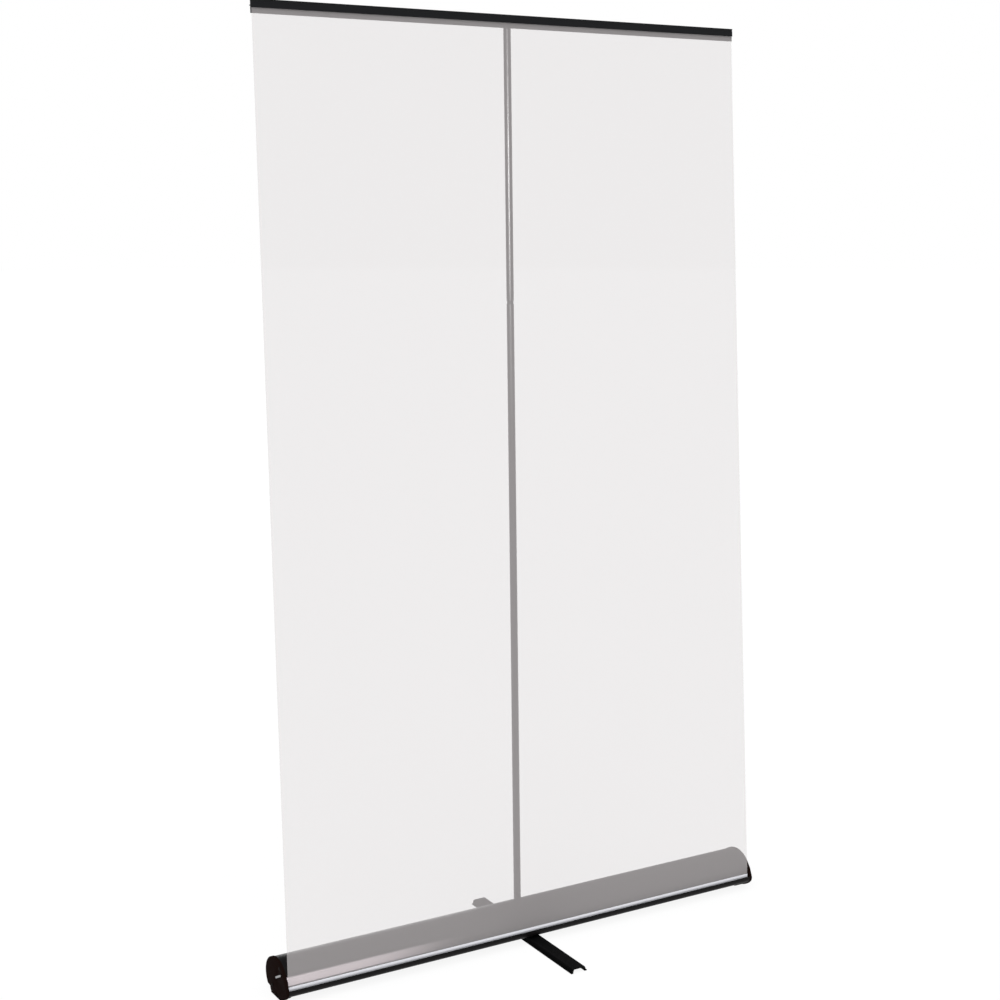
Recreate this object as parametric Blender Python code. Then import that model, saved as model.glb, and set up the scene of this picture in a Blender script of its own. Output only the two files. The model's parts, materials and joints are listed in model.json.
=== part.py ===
"""Roll-up banner stand: sprung roller base, swivel foot, three-piece pole, snap rail and film.

Metres, +Z up. X runs along the base, -Y is the side that is read, Z = 0 is the floor.
The origin is on the floor, midway along the base and midway along the deployed foot.
"""
import math

import bmesh
import bpy
from mathutils import Matrix, Vector

# ---------------------------------------------------------------- driving dimensions
GAP = 0.0003                  # left between touching pieces

FILM_WIDTH = 1.200
FILM_HEIGHT = 2.005           # from the slot to the lower edge of the rail's jaw
FILM_THICK = 0.0005
FILM_TUCK = 0.0110            # film held inside the rail, above the jaw's lower edge
FILM_LEAN = math.radians(3.2)
LEADER_SHOWN = 0.0090         # leader that stands out of the slot at full height
SLOT_Y = -0.0385
SLOT_Z = 0.0280

END_PLAY = 0.0012             # between the film's edge and an end cap

DOME_Y = 0.0125               # centre and half-axes of the housing's oval back
DOME_Z = 0.0400
DOME_HALF_DEPTH = 0.0490
DOME_HALF_HEIGHT = 0.0420
DOME_FRONT_ANGLE = math.radians(156)
HOUSING_WALL = 0.0016
BASE_Z = 0.0150               # underside of the housing
LIP_RADIUS = 0.0130
LIP_Y = -0.0340               # centre of the lip's round
LIP_TOP_Z = 0.0320

STRIP_WALL = 0.0018
STRIP_BOTTOM_Z = 0.0360
STRIP_UNDERCUT = 0.0040       # how far the strip's foot stands behind its top
STRIP_TONGUE_SPAN = math.radians(9)
EDGE_BEAD_SPAN = math.radians(3)   # raised bead along the dome's front edge
EDGE_BEAD_HEIGHT = 0.0006

PORT_RADIUS = 0.0036
PORT_ANGLE = math.radians(126)  # upper screw port, on the inside of the dome
PORT_SINK = 0.0045            # its centre inside the dome's outer face
LOWER_PORT_RISE = 0.0050      # lower port's centre above the underside
SCREW_RADIUS = 0.0015
SCREW_HEAD_RADIUS = 0.0034
SCREW_HEAD = 0.0018
CAP_SCREW_LENGTH = 0.0220

CAP_PLATE = 0.0060
CAP_RIM = 0.0012              # cap stands this far outside the dome
CAP_LIP_RIM = 0.0005          # and this far outside the lip
CAP_TOE_Y = -0.0080           # where the cap's underside starts to rise to the lip
CAP_HEEL_RADIUS = 0.0100
CAP_HEEL_REACH = 0.0020        # how far the cap's heel stands behind its pad
CAP_UNDERSIDE = 0.0008         # cap below the housing's underside behind the heel
CAP_NOTCH_DEPTH = 0.0030      # cap in front of the dome, over the slot
PAD_HEIGHT = 0.0020
PAD_BACK_Y = 0.0380
PAD_FRONT_Y = -0.0140
PAD_DEPTH_X = 0.0240

ROLLER_Y = 0.0040
ROLLER_Z = 0.0450
ROLLER_RADIUS = 0.0160
ROLLER_WALL = 0.0012
LEADER_WRAP = 0.0012          # thickness of the leader wound on the tube
PLUG_LENGTH = 0.0120
PLUG_FLANGE = 0.0015
LOCK_HOLES = 6
LOCK_CIRCLE = 0.0090
PIN_RADIUS = 0.0020
PIN_ANGLE = math.radians(152)  # where the lock pin stands round the roller's axis
PIN_PUSH = 0.0030             # travel from parked to locked
PIN_REACH = 0.0009            # between the parked pin's tip and the roller plug
TAB_LENGTH = 0.0300
TAB_FORWARD = 0.0185          # part of the tab in front of the pin
TAB_HEIGHT = 0.0042
TAB_THICK = 0.0015
SPINDLE_RADIUS = 0.0040
SPINDLE_LENGTH = 0.3600
SPINDLE_SQUARE = 0.0060
SPINDLE_SEAT = 0.0022         # blind square hole in the left end cap
SPRING_RADIUS = 0.0095
SPRING_WIRE = 0.0011
SPRING_TURNS = 18
SPRING_LENGTH = 0.3000
STUB_RADIUS = 0.0040
BUSH_WALL = 0.0024
SOCKET_DEPTH = 0.0036         # blind round holes in the end caps
GUIDE_ROD_RADIUS = 0.0020

FOOT_LENGTH = 0.4315
FOOT_WIDTH = 0.0400
FOOT_TOP_WIDTH = 0.0300
FOOT_HEIGHT = 0.0106
FOOT_WALL = 0.0020
BOLT_RADIUS = 0.0040
BOLT_HEAD_RADIUS = 0.0070
BOLT_HEAD = 0.0034
WASHER_RADIUS = 0.0130
NUT_RADIUS = 0.0068
NUT_HEIGHT = 0.0028
FOOT_PLATE = (0.0800, 0.0380, 0.0030)
PLATE_SCREW_PLACES = ((-0.030, -0.013), (0.030, -0.013), (-0.030, 0.013), (0.030, 0.013))
PLATE_SCREW_RADIUS = 0.0015

POLE_RADIUS = 0.0080
POLE_WALL = 0.0009
POLE_FOOT_Z = 0.0175
POLE_UPPER = 0.5950
JOINT_NECK = 0.0070           # ferrule left bare under the upper tube
FERRULE_BORE = 0.0024
FERRULE_HOLD = 0.0300         # length inside each tube
CORD_RADIUS = 0.0015
POLE_SOCKET_WALL = 0.0018
POLE_SOCKET_CLEARANCE = 0.0006
POLE_SOCKET_HEIGHT = 0.0380
SOCKET_FLANGE = 0.0030
TIP_NECK = 0.0190             # bare neck between the upper tube and the hook's top

RAIL_OVERHANG = 0.0015        # beyond the film at each end
RAIL_WALL = 0.0016
RAIL_DROP = 0.0112            # back leaf below the jaw's lower edge
RAIL_LEAF_FRONT = 0.00075     # back leaf's front face behind the film's middle
GROOVE_DEPTH = 0.0050
GROOVE_LOW = 0.0040           # underside of the groove's lower wall
GROOVE_OPENING = 0.0100
JAW_FACE = -0.0007            # jaw's inner face in front of the film's middle
HINGE_FORWARD = -0.0009
HINGE_UP = 0.0146
BEAD_RADIUS = 0.0013
BEAD_WALL = 0.0012
BEAD_NECK = 0.0007            # half the neck between bead and jaw
HOOK_WIDTH = 0.0100
HOOK_HEIGHT = 0.0076
HOOK_TUBE_CLEARANCE = 0.0005

# ---------------------------------------------------------------- derived sizes
INNER_HALF = FILM_WIDTH / 2 + END_PLAY
CAP_FACE = INNER_HALF + CAP_PLATE
HOUSING_HALF = INNER_HALF - GAP
ROLLER_HALF = FILM_WIDTH / 2
FILM_WRAP_RADIUS = ROLLER_RADIUS + GAP + LEADER_WRAP
LIP_Z = BASE_Z + LIP_RADIUS
FLOOR_PLATE_Z = BASE_Z + HOUSING_WALL + GAP
RAIL_LENGTH = FILM_WIDTH + 2 * RAIL_OVERHANG
FERRULE_RADIUS = POLE_RADIUS - POLE_WALL - GAP
POLE_SOCKET_RADIUS = POLE_RADIUS + POLE_SOCKET_CLEARANCE + POLE_SOCKET_WALL
SOCKET_SCREW_X = POLE_SOCKET_RADIUS + SCREW_HEAD_RADIUS + GAP
FLOOR_DROP = (DOME_Z - FLOOR_PLATE_Z) / (DOME_HALF_HEIGHT - HOUSING_WALL)
FLOOR_BACK_Y = DOME_Y + (DOME_HALF_DEPTH - HOUSING_WALL) * math.sqrt(1 - FLOOR_DROP ** 2)
POLE_FOOT_Y = FLOOR_BACK_Y - 2 * GAP - POLE_SOCKET_RADIUS
LOWER_PORT_Y = POLE_FOOT_Y - POLE_SOCKET_RADIUS - 2 * GAP - PORT_RADIUS
RAIL_LEAF_BACK = RAIL_LEAF_FRONT + RAIL_WALL
GROOVE_BACK = RAIL_LEAF_BACK + GROOVE_DEPTH
POLE_BEHIND_FILM = GROOVE_BACK + HOOK_TUBE_CLEARANCE + POLE_RADIUS
GROOVE_FLOOR = GROOVE_LOW + RAIL_WALL
GROOVE_ROOF = GROOVE_FLOOR + GROOVE_OPENING

UP = Vector((0, math.sin(FILM_LEAN), math.cos(FILM_LEAN)))
BACK = Vector((0, math.cos(FILM_LEAN), -math.sin(FILM_LEAN)))
SLOT = Vector((0, SLOT_Y, SLOT_Z))
RAIL_ORIGIN = SLOT + UP * FILM_HEIGHT
HOOK_TOP = RAIL_ORIGIN + UP * (GROOVE_ROOF - 2 * GAP) + BACK * POLE_BEHIND_FILM
POLE_FOOT = Vector((0, POLE_FOOT_Y, POLE_FOOT_Z))
POLE_AXIS = (HOOK_TOP - POLE_FOOT).normalized()
POLE_LEAN = math.atan2(POLE_AXIS.y, POLE_AXIS.z)
POLE_TOTAL = (HOOK_TOP - POLE_FOOT).length
POLE_TUBES_TOP = POLE_TOTAL - TIP_NECK
UPPER_START = POLE_TUBES_TOP - POLE_UPPER
LOWER_LENGTH = (UPPER_START - JOINT_NECK - GAP) / 2

COLOURS = {
    "housing": ((0.030, 0.029, 0.030), 0.34, 0.6),
    "cap": ((0.030, 0.020, 0.016), 0.48, 0.0),
    "rubber": ((0.020, 0.020, 0.020), 0.85, 0.0),
    "steel": ((0.62, 0.62, 0.64), 0.30, 1.0),
    "black_steel": ((0.012, 0.012, 0.013), 0.50, 0.3),
    "roller": ((0.60, 0.61, 0.63), 0.35, 1.0),
    "nylon": ((0.05, 0.05, 0.05), 0.55, 0.0),
    "leader": ((0.70, 0.71, 0.74), 0.45, 0.0),
    "film": ((0.84, 0.84, 0.84), 0.30, 0.0),
    "pole": ((0.022, 0.022, 0.024), 0.36, 0.7),
    "cord": ((0.45, 0.05, 0.04), 0.85, 0.0),
    "rail": ((0.022, 0.023, 0.026), 0.36, 0.6),
}


# ---------------------------------------------------------------- helpers
def clear_scene():
    for obj in list(bpy.data.objects):
        bpy.data.objects.remove(obj, do_unlink=True)


def material(slot):
    mat = bpy.data.materials.get(slot)
    if mat:
        return mat
    colour, roughness, metallic = COLOURS[slot]
    mat = bpy.data.materials.new(slot)
    mat.use_nodes = True
    shader = mat.node_tree.nodes["Principled BSDF"]
    shader.inputs["Base Color"].default_value = (*colour, 1.0)
    shader.inputs["Roughness"].default_value = roughness
    shader.inputs["Metallic"].default_value = metallic
    return mat


def add_empty(name, location, rotation_x=0.0):
    empty = bpy.data.objects.new(name, None)
    empty.location = location
    empty.rotation_euler = (rotation_x, 0.0, 0.0)
    empty.empty_display_size = 0.05
    bpy.context.collection.objects.link(empty)
    return empty


def add_object(name, bm, slot, parent=None):
    bmesh.ops.recalc_face_normals(bm, faces=bm.faces)
    mesh = bpy.data.meshes.new(name)
    bm.to_mesh(mesh)
    bm.free()
    mesh.shade_smooth()
    mesh.set_sharp_from_angle(angle=math.radians(35))
    obj = bpy.data.objects.new(name, mesh)
    if slot:
        mesh.materials.append(material(slot))
    obj.parent = parent
    bpy.context.collection.objects.link(obj)
    return obj


def extrude_section(bm, section, x_low, x_high):
    """A closed outline of (y, z) points, swept along X."""
    low = [bm.verts.new((x_low, y, z)) for y, z in section]
    high = [bm.verts.new((x_high, y, z)) for y, z in section]
    bm.faces.new(low)
    bm.faces.new(reversed(high))
    for i in range(len(section)):
        j = (i + 1) % len(section)
        bm.faces.new((low[i], high[i], high[j], low[j]))


def prism(name, section, x_low, x_high, slot, parent=None):
    bm = bmesh.new()
    extrude_section(bm, section, x_low, x_high)
    return add_object(name, bm, slot, parent)


def lathe(bm, profile, segments=24, matrix=Matrix()):
    """Turn a closed loop of (radius, height) points about local Z; radius 0 lies on the axis."""
    rings = []
    for radius, height in profile:
        if radius == 0:
            rings.append([bm.verts.new(matrix @ Vector((0, 0, height)))])
            continue
        ring = []
        for k in range(segments):
            turn = 2 * math.pi * k / segments
            point = Vector((radius * math.cos(turn), radius * math.sin(turn), height))
            ring.append(bm.verts.new(matrix @ point))
        rings.append(ring)
    for i, ring in enumerate(rings):
        after = rings[(i + 1) % len(rings)]
        if len(ring) == 1 and len(after) == 1:
            continue
        for k in range(segments):
            m = (k + 1) % segments
            if len(ring) == 1:
                bm.faces.new((ring[0], after[k], after[m]))
            elif len(after) == 1:
                bm.faces.new((ring[k], ring[m], after[0]))
            else:
                bm.faces.new((ring[k], ring[m], after[m], after[k]))


def rod_profile(radius, low, high):
    return [(0, low), (radius, low), (radius, high), (0, high)]


def tube_profile(outer, inner, low, high):
    return [(outer, low), (outer, high), (inner, high), (inner, low)]


def along_x(x=0.0, y=0.0, z=0.0):
    """A matrix that lays a turned piece's axis along +X through (y, z)."""
    return Matrix.Translation((x, y, z)) @ Matrix.Rotation(math.pi / 2, 4, "Y")


def turned(name, profile, slot, parent=None, segments=24, matrix=Matrix()):
    bm = bmesh.new()
    lathe(bm, profile, segments, matrix)
    return add_object(name, bm, slot, parent)


def cut(obj, bm, name, operation="DIFFERENCE"):
    """Combine obj with the hidden helper solid held in bm."""
    helper = add_object(name, bm, None, obj.parent)
    helper.hide_render = True
    helper.display_type = "WIRE"
    modifier = obj.modifiers.new(name, "BOOLEAN")
    modifier.operation = operation
    modifier.solver = "EXACT"
    modifier.object = helper
    return helper


def add_box(bm, low, high, matrix=Matrix()):
    centre = (Vector(low) + Vector(high)) / 2
    size = Vector(high) - Vector(low)
    place = matrix @ Matrix.Translation(centre) @ Matrix.Diagonal((*size, 1.0))
    bmesh.ops.create_cube(bm, size=1.0, matrix=place)


def arc(centre_y, centre_z, radius_y, radius_z, start, end, steps):
    points = []
    for k in range(steps + 1):
        turn = start + (end - start) * k / steps
        y = centre_y + radius_y * math.cos(turn)
        points.append((y, centre_z + radius_z * math.sin(turn)))
    return points


def dome_arc(offset, start, end, steps):
    wide = DOME_HALF_DEPTH + offset
    tall = DOME_HALF_HEIGHT + offset
    return arc(DOME_Y, DOME_Z, wide, tall, start, end, steps)


def dome_bottom_angle(height, offset=0.0):
    """The angle at which the dome's back comes down to a height."""
    return math.asin((height - DOME_Z) / (DOME_HALF_HEIGHT + offset))


# ---------------------------------------------------------------- base
def port_places():
    """Centres of the two screw ports: one under the dome, one on the floor."""
    upper = dome_arc(-PORT_SINK, PORT_ANGLE, PORT_ANGLE, 1)[0]
    return upper, (LOWER_PORT_Y, BASE_Z + LOWER_PORT_RISE)


def edge_bead():
    points = []
    steps = 6
    for k in range(steps):
        turn = DOME_FRONT_ANGLE - EDGE_BEAD_SPAN * k / steps
        rise = EDGE_BEAD_HEIGHT * math.sin(math.pi * k / steps)
        points += dome_arc(rise, turn, turn, 1)[:1]
    return points


def housing_section():
    inner = -HOUSING_WALL
    inner_z = BASE_Z + HOUSING_WALL
    bottom = dome_bottom_angle(BASE_Z)
    inner_bottom = dome_bottom_angle(inner_z, inner)
    lip_inner = LIP_RADIUS - HOUSING_WALL
    outline = edge_bead() + dome_arc(0.0, DOME_FRONT_ANGLE - EDGE_BEAD_SPAN, bottom, 34)
    outline += arc(LIP_Y, LIP_Z, LIP_RADIUS, LIP_RADIUS, -math.pi / 2, -math.pi, 8)
    outline.append((LIP_Y - LIP_RADIUS, LIP_TOP_Z))
    outline.append((LIP_Y - lip_inner, LIP_TOP_Z))
    outline += arc(LIP_Y, LIP_Z, lip_inner, lip_inner, -math.pi, -math.pi / 2, 8)
    outline += dome_arc(inner, inner_bottom, DOME_FRONT_ANGLE, 34)
    return outline


def make_housing():
    shell = prism("housing_shell", housing_section(), -HOUSING_HALF, HOUSING_HALF, "housing")
    ports = bmesh.new()
    for y, z in port_places():
        lathe(ports, rod_profile(PORT_RADIUS, -HOUSING_HALF, HOUSING_HALF), 16, along_x(0, y, z))
    cut(shell, ports, "screw_ports", "UNION")
    holes = bmesh.new()
    reach = HOUSING_HALF + 0.001
    for y, z in port_places():
        profile = rod_profile(SCREW_RADIUS + GAP, -reach, reach)
        lathe(holes, profile, 12, along_x(0, y, z))
    low = BASE_Z - 0.001
    high = BASE_Z + HOUSING_WALL + 0.001
    lathe(holes, rod_profile(BOLT_RADIUS + GAP, low, high), 24)
    for x, y in PLATE_SCREW_PLACES:
        place = Matrix.Translation((x, y, 0))
        lathe(holes, rod_profile(PLATE_SCREW_RADIUS + GAP, low, high), 12, place)
    for side in (-1, 1):
        place = Matrix.Translation((side * SOCKET_SCREW_X, POLE_FOOT_Y, 0))
        lathe(holes, rod_profile(PLATE_SCREW_RADIUS + GAP, low, high), 12, place)
    pole = pole_matrix()
    bore = POLE_RADIUS + POLE_SOCKET_CLEARANCE + 2 * GAP
    start = POLE_SOCKET_HEIGHT
    lathe(holes, rod_profile(bore, start, start + 0.060), 32, pole)
    cut(shell, holes, "housing_holes")


def make_guide_strip():
    """The front face under the dome, with a tongue held behind the dome's edge."""
    top_y, top_z = dome_arc(0.0, DOME_FRONT_ANGLE, DOME_FRONT_ANGLE, 1)[0]
    top_z -= 2 * GAP + HOUSING_WALL / 2
    top_y -= HOUSING_WALL
    foot_y = top_y + STRIP_UNDERCUT
    high = DOME_FRONT_ANGLE - STRIP_TONGUE_SPAN
    near = -HOUSING_WALL - 2 * GAP
    tongue = dome_arc(near, DOME_FRONT_ANGLE, high, 3)
    tongue += dome_arc(near - STRIP_WALL, high, DOME_FRONT_ANGLE, 3)
    tongue = [(y, z) for y, z in tongue if z > top_z - STRIP_WALL]
    outline = [(top_y, top_z), *tongue]
    outline.append((top_y + STRIP_WALL, top_z - 2 * STRIP_WALL))
    outline.append((foot_y + STRIP_WALL, STRIP_BOTTOM_Z))
    outline.append((foot_y, STRIP_BOTTOM_Z))
    prism("guide_strip", outline, -HOUSING_HALF, HOUSING_HALF, "housing")


def guide_rod_centre():
    return SLOT + BACK * (FILM_THICK / 2 + GAP + GUIDE_ROD_RADIUS)


def make_guide_rod():
    centre = guide_rod_centre()
    half = INNER_HALF + SOCKET_DEPTH - 2 * GAP
    place = along_x(0, centre.y, centre.z)
    turned("guide_rod", rod_profile(GUIDE_ROD_RADIUS, -half, half), "steel", None, 16, place)


def cap_section():
    low = PAD_HEIGHT + GAP
    behind = dome_bottom_angle(BASE_Z - CAP_UNDERSIDE, CAP_RIM)
    outline = dome_arc(CAP_RIM, math.radians(152), behind, 26)
    heel = CAP_HEEL_RADIUS
    heel_y = PAD_BACK_Y + CAP_HEEL_REACH - heel
    outline += arc(heel_y, low + heel, heel, heel, 0.0, -math.pi / 2, 6)
    radius = LIP_RADIUS + CAP_LIP_RIM
    rise = LIP_Z - low
    reach = CAP_TOE_Y - LIP_Y
    toe = (rise ** 2 + reach ** 2 - radius ** 2) / (2 * (rise - radius))
    meet = math.atan2(rise - toe, -reach)
    outline += arc(CAP_TOE_Y, low + toe, toe, toe, -math.pi / 2, meet, 8)[:-1]
    outline += arc(LIP_Y, LIP_Z, radius, radius, meet, math.radians(-205), 5)
    notch_y = DOME_Y - DOME_HALF_DEPTH - CAP_NOTCH_DEPTH
    outline.append((notch_y, DOME_Z + DOME_HALF_HEIGHT / 4))
    return outline


def pad_block_section():
    top = BASE_Z - GAP
    low = PAD_HEIGHT + GAP
    return [(PAD_FRONT_Y, low), (PAD_BACK_Y, low), (PAD_BACK_Y, top), (PAD_FRONT_Y, top)]


def roller_point(angle, radius):
    return ROLLER_Y + radius * math.cos(angle), ROLLER_Z + radius * math.sin(angle)


def tab_matrix(side):
    """Local X out of the cap, local Y along the tab, at the lock pin's centre."""
    y, z = roller_point(PIN_ANGLE, LOCK_CIRCLE)
    turn = Matrix.Rotation(PIN_ANGLE - math.pi, 4, "X")
    return Matrix.Translation((side * CAP_FACE, y, z)) @ turn


def make_end_cap(side, name):
    low, high = sorted((side * INNER_HALF, side * CAP_FACE))
    cap = prism(name, cap_section(), low, high, "cap")
    block = bmesh.new()
    inward, outward = sorted((side * (CAP_FACE - PAD_DEPTH_X), side * (CAP_FACE - 0.001)))
    extrude_section(block, pad_block_section(), inward, outward)
    cut(cap, block, name + "_foot_block", "UNION")
    holes = bmesh.new()
    inner = side * (INNER_HALF - 0.001)
    blind = side * (INNER_HALF + SOCKET_DEPTH)
    through = side * (CAP_FACE + 0.001)
    for y, z in port_places():
        ends = sorted((inner, through))
        lathe(holes, rod_profile(SCREW_RADIUS + GAP, *ends), 12, along_x(0, y, z))
    rod = guide_rod_centre()
    ends = sorted((inner, blind))
    lathe(holes, rod_profile(GUIDE_ROD_RADIUS + GAP, *ends), 16, along_x(0, rod.y, rod.z))
    if side < 0:
        half = SPINDLE_SQUARE / 2 + GAP
        box_low = (-INNER_HALF - SPINDLE_SEAT, ROLLER_Y - half, ROLLER_Z - half)
        add_box(holes, box_low, (inner, ROLLER_Y + half, ROLLER_Z + half))
        place = tab_matrix(side)
        pin = rod_profile(PIN_RADIUS + GAP, -CAP_PLATE - 0.001, CAP_PLATE + 0.001)
        lathe(holes, pin, 16, place @ Matrix.Rotation(math.pi / 2, 4, "Y"))
        recess = bmesh.new()
        side_gap = TAB_HEIGHT / 2 + 2 * GAP
        low_corner = (-0.001, -TAB_FORWARD - 2 * GAP, -side_gap)
        high_corner = (PIN_PUSH, TAB_LENGTH - TAB_FORWARD + 2 * GAP, side_gap)
        add_box(recess, low_corner, high_corner, place)
        cut(cap, recess, name + "_tab_recess")
    else:
        radius = STUB_RADIUS + GAP + BUSH_WALL + GAP
        profile = rod_profile(radius, *ends)
        lathe(holes, profile, 24, along_x(0, ROLLER_Y, ROLLER_Z))
    cut(cap, holes, name + "_holes")


def make_pad(side, name):
    low, high = sorted((side * (CAP_FACE - PAD_DEPTH_X), side * CAP_FACE))
    edge = 0.002
    outline = [(PAD_FRONT_Y + edge, 0), (PAD_BACK_Y - edge, 0)]
    outline += [(PAD_BACK_Y - edge, PAD_HEIGHT), (PAD_FRONT_Y + edge, PAD_HEIGHT)]
    prism(name, outline, low, high, "rubber")


def screw_profile(radius, length, head_radius, head):
    """Shank from 0 down to -length, head above, with a shallow round drive recess."""
    drive = head_radius * 0.45
    return [
        (0, -length), (radius, -length), (radius, 0), (head_radius, 0),
        (head_radius, head * 0.6), (head_radius * 0.8, head),
        (drive, head), (drive, head * 0.4), (0, head * 0.4),
    ]


def make_cap_screw(name, side, y, z):
    profile = screw_profile(SCREW_RADIUS, CAP_SCREW_LENGTH, SCREW_HEAD_RADIUS, SCREW_HEAD)
    turn = Matrix.Rotation(side * math.pi / 2, 4, "Y")
    place = Matrix.Translation((side * (CAP_FACE + GAP), y, z)) @ turn
    turned(name, profile, "steel", None, 16, place)


# ---------------------------------------------------------------- roller
def make_lock_pin():
    axis = add_empty("lock_pin_axis", (0, 0, 0))
    bm = bmesh.new()
    place = tab_matrix(-1)
    low = (-TAB_THICK - GAP, -TAB_FORWARD, -TAB_HEIGHT / 2)
    high = (-GAP, TAB_LENGTH - TAB_FORWARD, TAB_HEIGHT / 2)
    add_box(bm, low, high, place)
    tab = add_object("roller_lock_pin", bm, "steel", axis)
    shank = bmesh.new()
    tip = CAP_FACE - ROLLER_HALF - PIN_REACH
    profile = rod_profile(PIN_RADIUS, -GAP - TAB_THICK / 2, tip)
    lathe(shank, profile, 16, place @ Matrix.Rotation(math.pi / 2, 4, "Y"))
    cut(tab, shank, "lock_pin_shank", "UNION")


def make_spindle():
    """A round bar with a square head that the left cap stops from turning."""
    bm = bmesh.new()
    start = -INNER_HALF
    lathe(bm, rod_profile(SPINDLE_RADIUS, start, start + SPINDLE_LENGTH), 20,
          along_x(0, ROLLER_Y, ROLLER_Z))
    spindle = add_object("spring_spindle", bm, "steel")
    head = bmesh.new()
    half = SPINDLE_SQUARE / 2
    low = (start - SPINDLE_SEAT + GAP, ROLLER_Y - half, ROLLER_Z - half)
    add_box(head, low, (start + 0.002, ROLLER_Y + half, ROLLER_Z + half))
    cut(spindle, head, "spindle_head", "UNION")


def make_spring():
    """A helical torsion spring round the spindle, its wire swept by a bevelled curve."""
    start = -ROLLER_HALF + PLUG_LENGTH + 0.004
    steps = 12
    curve = bpy.data.curves.new("torsion_spring", "CURVE")
    curve.dimensions = "3D"
    curve.bevel_depth = SPRING_WIRE
    curve.bevel_resolution = 0
    curve.use_fill_caps = True
    spline = curve.splines.new("POLY")
    count = SPRING_TURNS * steps + 1
    spline.points.add(count - 1)
    for k in range(count):
        turn = 2 * math.pi * k / steps
        x = start + SPRING_LENGTH * k / (count - 1)
        y, z = roller_point(turn, SPRING_RADIUS)
        spline.points[k].co = (x, y, z, 1.0)
    curve.materials.append(material("steel"))
    obj = bpy.data.objects.new("torsion_spring", curve)
    bpy.context.collection.objects.link(obj)


def make_roller():
    axis = add_empty("roller_axis", (0, ROLLER_Y, ROLLER_Z))
    inner = ROLLER_RADIUS - ROLLER_WALL
    end = ROLLER_HALF - PLUG_FLANGE - GAP
    turned("roller_tube", tube_profile(ROLLER_RADIUS, inner, -end, end), "roller", axis, 40,
           along_x())
    half = FILM_WIDTH / 2
    wrap = tube_profile(FILM_WRAP_RADIUS, ROLLER_RADIUS + GAP, -half, half)
    turned("wound_leader", wrap, "leader", axis, 48, along_x())
    seat = inner - GAP
    hub = SPINDLE_RADIUS + 2 * GAP
    left = [
        (hub, -ROLLER_HALF), (ROLLER_RADIUS - GAP, -ROLLER_HALF),
        (ROLLER_RADIUS - GAP, -ROLLER_HALF + PLUG_FLANGE), (seat, -ROLLER_HALF + PLUG_FLANGE),
        (seat, -ROLLER_HALF + PLUG_LENGTH), (hub, -ROLLER_HALF + PLUG_LENGTH),
    ]
    plug = turned("roller_plug_left", left, "nylon", axis, 36, along_x())
    holes = bmesh.new()
    for k in range(LOCK_HOLES):
        turn = PIN_ANGLE + 2 * math.pi * k / LOCK_HOLES
        place = along_x(0, LOCK_CIRCLE * math.cos(turn), LOCK_CIRCLE * math.sin(turn))
        span = (-ROLLER_HALF - 0.001, -ROLLER_HALF + PLUG_LENGTH / 2)
        lathe(holes, rod_profile(PIN_RADIUS + 2 * GAP, *span), 12, place)
    cut(plug, holes, "lock_holes")
    stub_end = INNER_HALF + SOCKET_DEPTH - 2 * GAP
    right = [
        (0, ROLLER_HALF - PLUG_LENGTH), (seat, ROLLER_HALF - PLUG_LENGTH),
        (seat, ROLLER_HALF - PLUG_FLANGE), (ROLLER_RADIUS - GAP, ROLLER_HALF - PLUG_FLANGE),
        (ROLLER_RADIUS - GAP, ROLLER_HALF), (STUB_RADIUS, ROLLER_HALF),
        (STUB_RADIUS, stub_end), (0, stub_end),
    ]
    turned("roller_plug_right", right, "nylon", axis, 36, along_x())


def make_bush():
    outer = STUB_RADIUS + GAP + BUSH_WALL
    span = (INNER_HALF, INNER_HALF + SOCKET_DEPTH - GAP)
    profile = tube_profile(outer, STUB_RADIUS + GAP, *span)
    turned("roller_bush", profile, "nylon", None, 24, along_x(0, ROLLER_Y, ROLLER_Z))


def leader_path():
    """Middle line of the leader: down the film's plane, round the rod, back to the roller."""
    rod = guide_rod_centre()
    bend = GUIDE_ROD_RADIUS + GAP + FILM_THICK / 2
    roll = FILM_WRAP_RADIUS + GAP + FILM_THICK / 2
    run = Vector((ROLLER_Y - rod.y, ROLLER_Z - rod.z))
    slope = math.atan2(run.y, run.x) - math.asin((roll - bend) / run.length)
    top = SLOT + UP * (LEADER_SHOWN - GAP)
    points = [(top.y, top.z)]
    points += arc(rod.y, rod.z, bend, bend, math.pi - FILM_LEAN, 1.5 * math.pi + slope, 8)
    end = slope - math.pi / 2
    points.append((ROLLER_Y + roll * math.cos(end), ROLLER_Z + roll * math.sin(end)))
    return points


def thicken(points, thickness):
    """A closed outline that stands half the thickness to each side of an open path."""
    left, right = [], []
    for i, (y, z) in enumerate(points):
        before = points[max(i - 1, 0)]
        after = points[min(i + 1, len(points) - 1)]
        along = Vector((after[0] - before[0], after[1] - before[1])).normalized()
        half = thickness / 2
        left.append((y - along.y * half, z + along.x * half))
        right.append((y + along.y * half, z - along.x * half))
    return left + right[::-1]


def make_leader():
    half = FILM_WIDTH / 2
    prism("leader_sheet", thicken(leader_path(), FILM_THICK), -half, half, "leader")


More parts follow.
